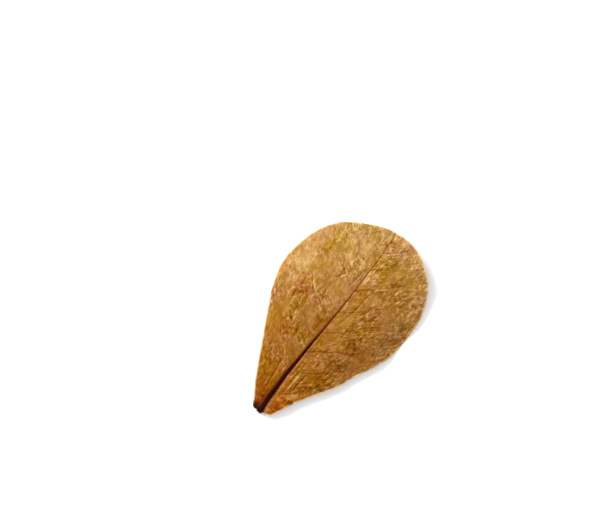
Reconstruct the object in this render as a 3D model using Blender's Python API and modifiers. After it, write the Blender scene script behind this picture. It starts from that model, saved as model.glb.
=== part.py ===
"""A dried Indian almond leaf (Terminalia catappa), lying with its upper side up.

The leaf grew as one piece, so it is one solid: a thin leathery blade, the midrib that
runs on into a short broken stalk, and the side veins that stand out underneath.
Metres, +Z up. The stalk end is at -Y and the tip at +Y, and the leaf rests on Z = 0.
"""

import bmesh
import bpy
import numpy as np
from mathutils import Matrix, Vector

MM = 0.001

# Driving dimensions.
BLADE_LENGTH = 180 * MM
BLADE_THICKNESS = 0.4 * MM
STALK_STUB_LENGTH = 2.6 * MM
MIDRIB_BASE_RADIUS = 2.2 * MM
MIDRIB_TIP_RADIUS = 0.45 * MM
MIDRIB_TIP_GAP = 1.5 * MM
VEIN_FOOT_RADIUS = 0.6 * MM
VEIN_END_RADIUS = 0.22 * MM
VEIN_REACH = 0.92

# The margin of each half on a blade 180 mm long, from the stalk to the tip, as
# (distance from the midrib, distance along it) in millimetres.
DRAWN_LENGTH = 180
LEFT_MARGIN = [
    (4.7, -2.4), (8.4, 0.6), (15.9, 12.3), (25.6, 30.5), (41.3, 61.3), (53.4, 86.7),
    (58.4, 105.0), (57.2, 121.5), (53.0, 139.4), (40.2, 159.4), (20.0, 172.4), (6.0, 178.2),
]
RIGHT_MARGIN = [
    (5.0, -1.3), (9.4, 2.0), (13.4, 9.1), (20.6, 24.0), (29.8, 38.3), (38.0, 51.2),
    (44.0, 65.5), (52.6, 83.2), (58.4, 99.0), (60.0, 118.0), (57.8, 139.3), (46.6, 161.4),
    (25.0, 177.2), (7.0, 180.2),
]

# The midrib's line, as (distance to the right of the middle, distance along the
# blade) in millimetres.
MIDRIB_LINE = [
    (-0.6, 0.0), (-1.3, 14.0), (-1.5, 26.0), (-1.4, 38.0), (-0.8, 50.0), (-0.2, 64.0),
    (0.9, 85.0), (1.8, 104.0), (2.2, 122.0), (2.3, 140.0), (2.3, 156.0), (1.8, 169.0),
    (0.4, 180.0),
]

# Where the side veins leave the midrib, in millimetres along it.
LEFT_VEIN_FEET = [11, 29, 48, 68, 89, 110, 131, 151, 166]
RIGHT_VEIN_FEET = [15, 36, 58, 79, 100, 122, 143, 160]
VEIN_POINTS = 14

# The net of the blade: its rows follow the side veins, and its columns the midrib.
ROWS = 46
COLUMNS_PER_HALF = 9
COLUMN_CROWDING = 1.3
FORWARD_LEAN = 0.78
FORWARD_BEND = 0.30
BASE_FAN_LENGTH = 45 * MM
TIP_FAN_START = 28 * MM
TIP_FAN_END = 5 * MM

# How the dried leaf has curved.
ARCH_HEIGHT = 9.0 * MM
TIP_LIFT = 3.0 * MM
TIP_LIFT_START = 0.8
GUTTER_SLOPE = 0.34
GUTTER_WIDTH = 9.0 * MM
GUTTER_ROUNDING = 1.3
GUTTER_FADE = 0.6
DROOP = 9.0 * MM
WAVE_HEIGHT = 1.8 * MM
WAVE_ONSET = 1.5
PUFF_HEIGHT = 0.35 * MM
PUFF_START = 0.15
PUFF_FADE = 0.7
HALF_WIDTH = 60 * MM

# The waves along each margin, as (half waves along the blade, phase, strength).
LEFT_WAVES = [(5.1, 0.4, 1.0), (9.3, 0.0, 0.5)]
RIGHT_WAVES = [(4.3, 2.2, 1.0), (8.6, 1.0, 0.5)]

MIDRIB_POINTS = 26
MIDRIB_SINK = 0.5
MIDRIB_TAPER_START = 0.8
MIDRIB_TAPER = 1.3
VEIN_SINK = 0.6
MIDRIB_BEVEL_STEPS = 2
VEIN_BEVEL_STEPS = 1
WELD_DISTANCE = 0.01 * MM
LAYING_ROUNDS = 8


def clear_scene():
    """Remove the objects that a new file starts with."""
    for existing in list(bpy.data.objects):
        bpy.data.objects.remove(existing, do_unlink=True)


def new_collection(name):
    """A collection under the scene's own."""
    collection = bpy.data.collections.new(name)
    bpy.context.scene.collection.children.link(collection)
    return collection


def leaf_material():
    """Dried leaf: warm brown, dull, not metallic."""
    material = bpy.data.materials.new("dried_leaf")
    material.use_nodes = True
    shader = material.node_tree.nodes["Principled BSDF"]
    shader.inputs["Base Color"].default_value = (0.46, 0.28, 0.12, 1.0)
    shader.inputs["Roughness"].default_value = 0.7
    shader.inputs["Metallic"].default_value = 0.0
    return material


def smoothstep(low, high, value):
    """0 below low, 1 above high, and an even rise between them."""
    share = np.clip((value - low) / (high - low), 0.0, 1.0)
    return share * share * (3 - 2 * share)


def smooth_line(points, samples=500, steps=30):
    """A smooth curve through points in the plane, as evenly spaced samples."""
    points = np.asarray(points, float)
    before = 2 * points[0] - points[1]
    after = 2 * points[-1] - points[-2]
    run = np.vstack([before, points, after])
    stretches = []
    for p0, p1, p2, p3 in zip(run, run[1:], run[2:], run[3:]):
        t = np.linspace(0, 1, steps, endpoint=False)[:, None]
        bend = (2 * p0 - 5 * p1 + 4 * p2 - p3) * t**2 + (3 * p1 - p0 - 3 * p2 + p3) * t**3
        stretches.append(0.5 * (2 * p1 + (p2 - p0) * t + bend))
    line = np.vstack([*stretches, points[-1:]])
    lengths = np.linalg.norm(np.diff(line, axis=0), axis=1)
    travelled = np.concatenate([[0], np.cumsum(lengths)])
    wanted = np.linspace(0, travelled[-1], samples)
    return np.interp(wanted, travelled, line[:, 0]), np.interp(wanted, travelled, line[:, 1])


def midrib_offset(along):
    """How far the midrib strays to the right of a straight line."""
    scale = BLADE_LENGTH / DRAWN_LENGTH
    aside, height = smooth_line(MIDRIB_LINE)
    return np.interp(along, height * scale, aside * scale)


def midrib_radius(along):
    """The midrib tapers quickly near the stalk, then slowly to the tip."""
    left = 1 - np.clip(along / BLADE_LENGTH, 0, 1) ** MIDRIB_TAPER_START
    taper = left**MIDRIB_TAPER
    return MIDRIB_TIP_RADIUS + (MIDRIB_BASE_RADIUS - MIDRIB_TIP_RADIUS) * taper


class Half:
    """One half of the blade, with each margin point tied to its foot on the midrib."""

    def __init__(self, name, side, margin, vein_feet):
        self.name = name
        self.side = side
        self.vein_feet = [foot * MM for foot in vein_feet]
        across, along = smooth_line(margin)
        scale = BLADE_LENGTH / DRAWN_LENGTH
        self.across = across * scale
        self.along = along * scale
        lean = FORWARD_LEAN * smoothstep(0, BASE_FAN_LENGTH, self.along)
        near_tip = self.along > BLADE_LENGTH / 2
        tip_share = smoothstep(TIP_FAN_END, TIP_FAN_START, self.across)
        lean = np.where(near_tip, lean * tip_share, lean)
        self.feet = self.along - lean * self.across

    def tie_feet(self, first, last):
        """Stretch the feet so that both halves start and end at the same place."""
        span = self.feet[-1] - self.feet[0]
        self.feet = first + (self.feet - self.feet[0]) * (last - first) / span

    def place(self, foot, share):
        """The point at a share of the way from the midrib's foot to the margin."""
        across = np.interp(foot, self.feet, self.across)
        along = np.interp(foot, self.feet, self.along)
        forward = share * (1 - FORWARD_BEND + FORWARD_BEND * share)
        y = foot + (along - foot) * forward
        x = self.side * across * share + midrib_offset(y) * (1 - share) ** 2
        return x, y

    def puff(self, foot, share):
        """How far the blade swells up between two side veins."""
        order = np.interp(foot, self.vein_feet, np.arange(len(self.vein_feet)))
        between = 0.5 - 0.5 * np.cos(2 * np.pi * order)
        off_ends = smoothstep(0, PUFF_START, share) * smoothstep(1, PUFF_FADE, share)
        return PUFF_HEIGHT * between * off_ends


def wave_along(waves, share):
    """The sum of one margin's waves at a share of the way up the blade."""
    return sum(strength * np.sin(turns * np.pi * share + phase) for turns, phase, strength in waves)


def sheet_height(x, y):
    """The height of the blade's upper face before the leaf is laid down."""
    share = np.clip(y / BLADE_LENGTH, 0, 1)
    away = np.abs(x - midrib_offset(y))
    reach = away / HALF_WIDTH
    tip_lift = TIP_LIFT * smoothstep(TIP_LIFT_START, 1.0, share)
    arch = ARCH_HEIGHT * (1 - (1 - share) ** 2) + tip_lift
    slope = GUTTER_SLOPE * (1 - GUTTER_FADE * share)
    flank = 1 - np.exp(-((away / GUTTER_WIDTH) ** GUTTER_ROUNDING))
    gutter = slope * GUTTER_WIDTH * flank
    droop = DROOP * (1 + np.sin(np.pi * share)) / 2 * reach**2
    wave = np.where(x < 0, wave_along(LEFT_WAVES, share), wave_along(RIGHT_WAVES, share))
    return arch + gutter - droop + WAVE_HEIGHT * reach**WAVE_ONSET * wave


class Leaf:
    """The leaf's surface: two halves on one midrib, laid down on three low points."""

    def __init__(self):
        self.left = Half("left", -1, LEFT_MARGIN, LEFT_VEIN_FEET)
        self.right = Half("right", 1, RIGHT_MARGIN, RIGHT_VEIN_FEET)
        first = (self.left.feet[0] + self.right.feet[0]) / 2
        last = (self.left.feet[-1] + self.right.feet[-1]) / 2
        self.left.tie_feet(first, last)
        self.right.tie_feet(first, last)
        self.lay = np.zeros(3)
        self.lay_down()

    def half(self, side):
        """The left half for a side below 0, and the right half above it."""
        return self.left if side < 0 else self.right

    def row_foot(self, share):
        """The foot of the row at a share of the way up the blade."""
        spread = np.linspace(0, 1, len(self.left.feet))
        return np.interp(share, spread, (self.left.feet + self.right.feet) / 2)

    def point(self, side, foot, share):
        """A point on the blade's upper face."""
        half = self.half(side)
        x, y = half.place(foot, share)
        z = sheet_height(x, y) + half.puff(foot, share)
        return x, y, z - self.lay @ np.array([1.0, x, y])

    def lay_down(self):
        """Tilt the leaf a little so that it rests on its stalk and on both margins."""
        stalk_x = midrib_offset(0.0)
        stalk_y = -STALK_STUB_LENGTH
        stalk_z = sheet_height(stalk_x, stalk_y) - (1 + MIDRIB_SINK) * MIDRIB_BASE_RADIUS
        edges = {}
        for half in (self.left, self.right):
            feet = half.feet[half.along > BLADE_LENGTH / 3]
            x, y, z = np.array([self.point(half.side, foot, 1.0) for foot in feet]).T
            edges[half.side] = (x, y, z - BLADE_THICKNESS)
        for _ in range(LAYING_ROUNDS):
            contacts = [(stalk_x, stalk_y, stalk_z)]
            for x, y, z in edges.values():
                lowest = np.argmin(z - self.lay[0] - self.lay[1] * x - self.lay[2] * y)
                contacts.append((x[lowest], y[lowest], z[lowest]))
            contacts = np.array(contacts)
            plane = np.column_stack([np.ones(3), contacts[:, 0], contacts[:, 1]])
            self.lay = np.linalg.solve(plane, contacts[:, 2])


def blade_object(leaf, collection):
    """The blade: a net from margin to margin, laid over the leaf's form and thickened."""
    mesh = bpy.data.meshes.new("blade")
    net = bmesh.new()
    bmesh.ops.create_grid(net, x_segments=2 * COLUMNS_PER_HALF, y_segments=ROWS, size=1)
    for vertex in net.verts:
        u, v = vertex.co.x, vertex.co.y
        foot = leaf.row_foot((v + 1) / 2)
        vertex.co = leaf.point(u, foot, abs(u) ** COLUMN_CROWDING)
    net.to_mesh(mesh)
    net.free()
    blade = bpy.data.objects.new("blade", mesh)
    collection.objects.link(blade)
    skin = blade.modifiers.new("thickness", "SOLIDIFY")
    skin.thickness = BLADE_THICKNESS
    skin.offset = -1
    return blade


def rib_object(name, points, radii, bevel_steps, collection):
    """A tapering round rib along points, closed at both ends, as a mesh."""
    curve = bpy.data.curves.new(name, "CURVE")
    curve.dimensions = "3D"
    curve.bevel_depth = 1.0
    curve.bevel_resolution = bevel_steps
    curve.use_fill_caps = True
    spline = curve.splines.new("POLY")
    spline.points.add(len(points) - 1)
    for target, place, radius in zip(spline.points, points, radii):
        target.co = (*place, 1.0)
        target.radius = radius
    drawn = bpy.data.objects.new(name + "_curve", curve)
    collection.objects.link(drawn)
    evaluated = drawn.evaluated_get(bpy.context.evaluated_depsgraph_get())
    mesh = bpy.data.meshes.new_from_object(evaluated)
    mesh.name = name
    weld = bmesh.new()
    weld.from_mesh(mesh)
    bmesh.ops.remove_doubles(weld, verts=weld.verts, dist=WELD_DISTANCE)
    weld.to_mesh(mesh)
    weld.free()
    rib = bpy.data.objects.new(name, mesh)
    rib.matrix_world = drawn.matrix_world
    collection.objects.link(rib)
    bpy.data.objects.remove(drawn, do_unlink=True)
    return rib


def midrib_object(leaf, collection):
    """The midrib, from the broken end of the stalk to just short of the tip."""
    last = leaf.left.feet[-1] - MIDRIB_TIP_GAP
    points = []
    radii = []
    for along in np.linspace(-STALK_STUB_LENGTH, last, MIDRIB_POINTS):
        radius = midrib_radius(along)
        x, y, z = leaf.point(1, along, 0.0)
        points.append((x, y, z - MIDRIB_SINK * radius))
        radii.append(radius)
    return rib_object("midrib", points, radii, MIDRIB_BEVEL_STEPS, collection)


def side_vein_objects(leaf, collection):
    """The side veins, sunk in the blade's underside, each starting inside the midrib."""
    veins = []
    for half in (leaf.left, leaf.right):
        for number, foot in enumerate(half.vein_feet, start=1):
            shares = np.linspace(0, VEIN_REACH, VEIN_POINTS)
            radii = np.linspace(VEIN_FOOT_RADIUS, VEIN_END_RADIUS, VEIN_POINTS)
            points = []
            for share, radius in zip(shares, radii):
                x, y, z = leaf.point(half.side, foot, share)
                points.append((x, y, z - BLADE_THICKNESS - VEIN_SINK * radius))
            name = f"{half.name}_vein_{number}"
            veins.append(rib_object(name, points, radii, VEIN_BEVEL_STEPS, collection))
    return veins


def stand_on_origin(mesh):
    """Put the middle of the leaf's box over the origin, and its lowest point on Z = 0."""
    corners = np.array([vertex.co for vertex in mesh.vertices])
    low = Vector(corners.min(axis=0))
    high = Vector(corners.max(axis=0))
    base = (low + high) / 2
    base.z = low.z
    mesh.transform(Matrix.Translation(-base))


def grown_together(name, blade, ribs, guides, parts):
    """One solid made of the blade and its ribs."""
    join = blade.modifiers.new("ribs", "BOOLEAN")
    join.operation = "UNION"
    join.operand_type = "COLLECTION"
    join.collection = guides
    join.solver = "EXACT"
    evaluated = blade.evaluated_get(bpy.context.evaluated_depsgraph_get())
    mesh = bpy.data.meshes.new_from_object(evaluated)
    mesh.name = name
    mesh.materials.clear()
    mesh.materials.append(leaf_material())
    mesh.shade_smooth()
    stand_on_origin(mesh)
    leaf_object = bpy.data.objects.new(name, mesh)
    parts.objects.link(leaf_object)
    for used in [blade, *ribs]:
        bpy.data.objects.remove(used, do_unlink=True)


def main():
    """Build the leaf."""
    clear_scene()
    parts = new_collection("autumn_leaf")
    guides = new_collection("ribs_to_join")
    leaf = Leaf()
    blade = blade_object(leaf, parts)
    ribs = [midrib_object(leaf, guides), *side_vein_objects(leaf, guides)]
    bpy.context.view_layer.update()
    grown_together("leaf", blade, ribs, guides, parts)


main()
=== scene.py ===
"""A dried Indian almond leaf (Terminalia catappa) lying upper side up, finished for close viewing.

The leaf grew as one piece. Its skin is modelled here as one dense closed sheet whose rows
follow the side veins, over the same form as the solid it stands for. Lengths are in
metres unless a name ends in _mm, and the leaf's own plan has its origin at the stalk,
with y along the midrib and x to the right.
"""

import logging
import math
from collections.abc import Iterator, Sequence
from dataclasses import dataclass, field
from enum import Enum

import bpy
import numpy as np
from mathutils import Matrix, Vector, kdtree, noise


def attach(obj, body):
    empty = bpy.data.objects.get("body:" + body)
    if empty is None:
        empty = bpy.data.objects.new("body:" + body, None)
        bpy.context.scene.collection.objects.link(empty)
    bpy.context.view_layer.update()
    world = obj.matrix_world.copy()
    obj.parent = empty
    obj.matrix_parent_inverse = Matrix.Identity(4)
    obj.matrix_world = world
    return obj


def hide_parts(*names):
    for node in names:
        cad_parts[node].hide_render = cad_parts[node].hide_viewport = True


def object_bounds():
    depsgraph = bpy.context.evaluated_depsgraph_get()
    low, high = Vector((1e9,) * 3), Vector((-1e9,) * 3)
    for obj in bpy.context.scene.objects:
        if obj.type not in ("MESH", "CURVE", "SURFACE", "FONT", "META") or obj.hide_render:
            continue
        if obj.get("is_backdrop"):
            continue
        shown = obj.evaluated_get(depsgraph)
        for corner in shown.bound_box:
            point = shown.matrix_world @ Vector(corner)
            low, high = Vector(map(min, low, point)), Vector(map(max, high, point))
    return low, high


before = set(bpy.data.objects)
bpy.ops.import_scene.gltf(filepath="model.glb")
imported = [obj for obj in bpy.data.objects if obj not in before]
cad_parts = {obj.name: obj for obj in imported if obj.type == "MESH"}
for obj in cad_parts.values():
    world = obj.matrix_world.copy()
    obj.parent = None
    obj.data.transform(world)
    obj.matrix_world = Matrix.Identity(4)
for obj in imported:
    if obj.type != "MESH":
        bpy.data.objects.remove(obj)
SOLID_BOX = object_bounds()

MM = 0.001
BLADE_LENGTH_MM = 180
HALF_WIDTH_MM = 60
# The middle of the view, from the stalk's end: left of the midrib and past halfway.
VIEW_MIDDLE_MM = Vector((-47.0, 114.4, 0.0))
LOG = logging.getLogger("leaf")

Array = np.ndarray
NodeInput = bpy.types.NodeSocket | float | Sequence[float]
Sockets = dict[str, bpy.types.NodeSocket]
Layer = tuple[str | bpy.types.NodeSocket, bpy.types.NodeSocket]
Bound = tuple[bpy.types.NodeSocket, float, float, float]


class Side(Enum):
    """The two halves of the blade, by the sign of x."""

    LEFT = -1
    RIGHT = 1


class Face(Enum):
    """The parts of the leaf's skin, by material slot."""

    UPPER = 0
    LOWER = 1
    RIM = 2
    BREAK = 3


def hex_to_linear(code: str) -> tuple[float, float, float, float]:
    """Turn an sRGB hex colour into linear light.

    Args:
        code: Six hex digits, with or without a leading hash.

    Returns:
        Linear red, green, blue and an alpha of 1.
    """
    digits = code.lstrip("#")
    channels = [int(digits[start:start + 2], 16) / 255 for start in (0, 2, 4)]
    linear = [c / 12.92 if c <= 0.04045 else ((c + 0.055) / 1.055) ** 2.4 for c in channels]
    return (*linear, 1.0)


def smoothstep(low: float | Array, high: float | Array, value: Array) -> Array:
    """Rise evenly from 0 at low to 1 at high.

    Args:
        low: Where the rise starts.
        high: Where it ends.
        value: The values to look up.

    Returns:
        The share risen at each value.
    """
    share = np.clip((value - low) / (np.asarray(high) - low), 0.0, 1.0)
    return share * share * (3 - 2 * share)


def smooth_line(points: Sequence[tuple[float, float]], samples: int = 900,
                steps: int = 30) -> tuple[Array, Array]:
    """Draw a smooth curve through points in the plane.

    Args:
        points: The points it passes through, in order.
        samples: How many evenly spaced samples to return.
        steps: How finely each stretch is drawn before it is sampled.

    Returns:
        The samples' two coordinates.
    """
    given = np.asarray(points, float)
    run = np.vstack([2 * given[0] - given[1], given, 2 * given[-1] - given[-2]])
    stretches = []
    for p0, p1, p2, p3 in zip(run, run[1:], run[2:], run[3:]):
        t = np.linspace(0, 1, steps, endpoint=False)[:, None]
        bend = (2 * p0 - 5 * p1 + 4 * p2 - p3) * t**2 + (3 * p1 - p0 - 3 * p2 + p3) * t**3
        stretches.append(0.5 * (2 * p1 + (p2 - p0) * t + bend))
    line = np.vstack([*stretches, given[-1:]])
    travelled = np.concatenate([[0], np.cumsum(np.linalg.norm(np.diff(line, axis=0), axis=1))])
    wanted = np.linspace(0, travelled[-1], samples)
    return np.interp(wanted, travelled, line[:, 0]), np.interp(wanted, travelled, line[:, 1])


def find_nearest(points: Sequence[Sequence[float]], x: Array, y: Array) -> tuple[Array, Array]:
    """Find the nearest of some points of the plan.

    Args:
        points: The points to search.
        x: Plan positions to search from.
        y: Plan positions to search from.

    Returns:
        The nearest point's number and its distance, in the shape of x.
    """
    tree = kdtree.KDTree(len(points))
    for index, (px, py) in enumerate(points):
        tree.insert((px, py, 0), index)
    tree.balance()
    found = [tree.find((px, py, 0)) for px, py in zip(x.ravel(), y.ravel())]
    nearest = np.array([hit[1] for hit in found]).reshape(x.shape)
    away = np.array([hit[2] for hit in found]).reshape(x.shape)
    return nearest, away


def new_piece(name: str, points: Sequence, faces: Sequence,
              finishes: Sequence[bpy.types.Material]) -> bpy.types.Object:
    """Make a mesh object and put it in the scene.

    Args:
        name: The piece's name.
        points: Its mesh's points.
        faces: The corners of each of its faces.
        finishes: Its materials, by slot.

    Returns:
        The piece.
    """
    mesh = bpy.data.meshes.new(name)
    mesh.from_pydata(points, [], faces)
    for finish in finishes:
        mesh.materials.append(finish)
    piece = bpy.data.objects.new(name, mesh)
    bpy.context.scene.collection.objects.link(piece)
    return piece


@dataclass(frozen=True)
class Bumps:
    """Smooth seeded noise over the leaf's plan.

    Attributes:
        size_mm: The length of a bump across and along.
        seed: Which cut through the noise to take.
        octaves: How many layers it has, each half as large as the last.
        layer_step: How far apart the cuts of its layers lie.
    """

    size_mm: tuple[float, float]
    seed: float
    octaves: int = 1
    layer_step: float = 7.3

    def at(self, across: Array, along: Array) -> Array:
        """Look the noise up.

        Args:
            across: Plan positions in millimetres.
            along: Plan positions in millimetres.

        Returns:
            Values of about -1 to 1, in the shape of across.
        """
        total = np.zeros(across.size)
        for layer in range(self.octaves):
            finer = 2 ** layer
            xs = across.ravel() * finer / self.size_mm[0]
            ys = along.ravel() * finer / self.size_mm[1]
            cut = self.seed + self.layer_step * layer
            total += [noise.noise((x, y, cut)) / finer for x, y in zip(xs, ys)]
        return total.reshape(across.shape)


BUMPS = {
    "buckle": Bumps((17, 23), 3.1, 2),
    "crinkle": Bumps((4.2, 5.2), 11.7, 3),
    "along_rib": Bumps((2.3, 9.0), 23.9, 2),
    "along_vein": Bumps((9.0, 2.4), 31.3, 2),
    "swap": Bumps((24, 24), 41.1),
    "ridge": Bumps((6.0, 13.0), 57.7, 2),
    "furrow": Bumps((0.9, 16), 61.3),
    "margin_x": Bumps((7, 7), 71.3, 3),
    "margin_y": Bumps((7, 7), 83.9, 3),
    "body_x": Bumps((19, 19), 91.1, 2),
    "body_y": Bumps((16, 16), 97.7, 2),
    "tear": Bumps((0.7, 9.0), 103.3, 2),
    "patch": Bumps((4, 5), 113.1, 3),
    "cell_x": Bumps((9, 9), 141.1, 2),
    "cell_y": Bumps((9, 9), 149.9, 2),
    "zone": Bumps((15, 19), 171.3, 2),
}


# --- The leaf's form -------------------------------------------------------------------


@dataclass
class Midrib:
    """The midrib: a round rib that shows low above the blade and high below it."""

    length: float = BLADE_LENGTH_MM * MM
    stub_length: float = 2.9 * MM
    base_radius: float = 2.2 * MM
    tip_radius: float = 0.45 * MM
    sink: float = 0.5
    taper_start: float = 0.8
    taper: float = 1.3
    crest_base: float = 2.4 * MM
    crest_tip: float = 0.48 * MM
    crest_taper: float = 2.6
    line_mm: Sequence[tuple[float, float]] = (
        (-0.6, 0.0), (-1.3, 14.0), (-1.5, 26.0), (-1.4, 38.0), (-0.8, 50.0), (-0.2, 64.0),
        (0.9, 85.0), (1.8, 104.0), (2.2, 122.0), (2.3, 140.0), (2.3, 156.0), (1.8, 169.0),
        (0.4, 180.0),
    )
    aside: Array = field(init=False)
    ahead: Array = field(init=False)

    def __post_init__(self) -> None:
        """Draw the line the midrib follows."""
        aside, ahead = smooth_line(self.line_mm)
        self.aside = aside * MM
        self.ahead = ahead * MM

    def offset(self, along: Array) -> Array:
        """How far the midrib strays to the right of a straight line."""
        return np.interp(along, self.ahead, self.aside)

    def radius(self, along: Array) -> Array:
        """The rib's radius, tapering quickly near the stalk and slowly to the tip."""
        left = 1 - np.clip(along / self.length, 0, 1) ** self.taper_start
        return self.tip_radius + (self.base_radius - self.tip_radius) * left**self.taper

    def crest(self, along: Array) -> Array:
        """Half the width of the dark crest that shows on the upper face."""
        left = 1 - np.clip(along / self.length, 0, 1)
        return self.crest_tip + self.crest_base * left**self.crest_taper


@dataclass
class HalfBlade:
    """One half of the blade, with each margin point tied to its foot on the midrib."""

    side: Side
    margin_mm: Sequence[tuple[float, float]]
    vein_feet_mm: Sequence[float]
    length: float = BLADE_LENGTH_MM * MM
    lean: float = 0.78
    bend: float = 0.30
    base_fan: float = 45 * MM
    base_even: float = 12 * MM
    tip_fan: tuple[float, float] = (5 * MM, 28 * MM)
    across: Array = field(init=False)
    along: Array = field(init=False)
    feet: Array = field(init=False)

    def __post_init__(self) -> None:
        """Draw the margin and find the foot of each of its points."""
        across, along = smooth_line(self.margin_mm)
        self.across = across * MM
        self.along = along * MM
        lean = self.lean * smoothstep(0, self.base_fan, self.along)
        near_tip = self.along > self.length / 2
        lean = np.where(near_tip, lean * smoothstep(*self.tip_fan, self.across), lean)
        feet = self.along - lean * self.across
        even = int(np.argmax(self.along > self.base_even))
        feet[:even] = np.linspace(feet[0], feet[even], even, endpoint=False)
        self.feet = feet

    def tie_feet(self, first: float, last: float) -> None:
        """Stretch the feet so that both halves start and end at the same place."""
        span = self.feet[-1] - self.feet[0]
        self.feet = first + (self.feet - self.feet[0]) * (last - first) / span

    def reach(self, foot: Array) -> Array:
        """The margin's distance from the midrib on the row that starts at foot."""
        return np.interp(foot, self.feet, self.across)

    def order(self, foot: Array) -> Array:
        """The place of a foot among the side veins: whole numbers lie on a vein."""
        feet = np.array(self.vein_feet_mm) * MM
        return np.interp(foot, feet, np.arange(len(feet)))


@dataclass(frozen=True)
class Wave:
    """One wave along a margin: its half waves up the blade, its phase and its strength."""

    half_waves: float
    phase: float
    strength: float

    def at(self, share: Array) -> Array:
        """The wave's height at each share of the blade's length."""
        return self.strength * np.sin(self.half_waves * np.pi * share + self.phase)


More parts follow.
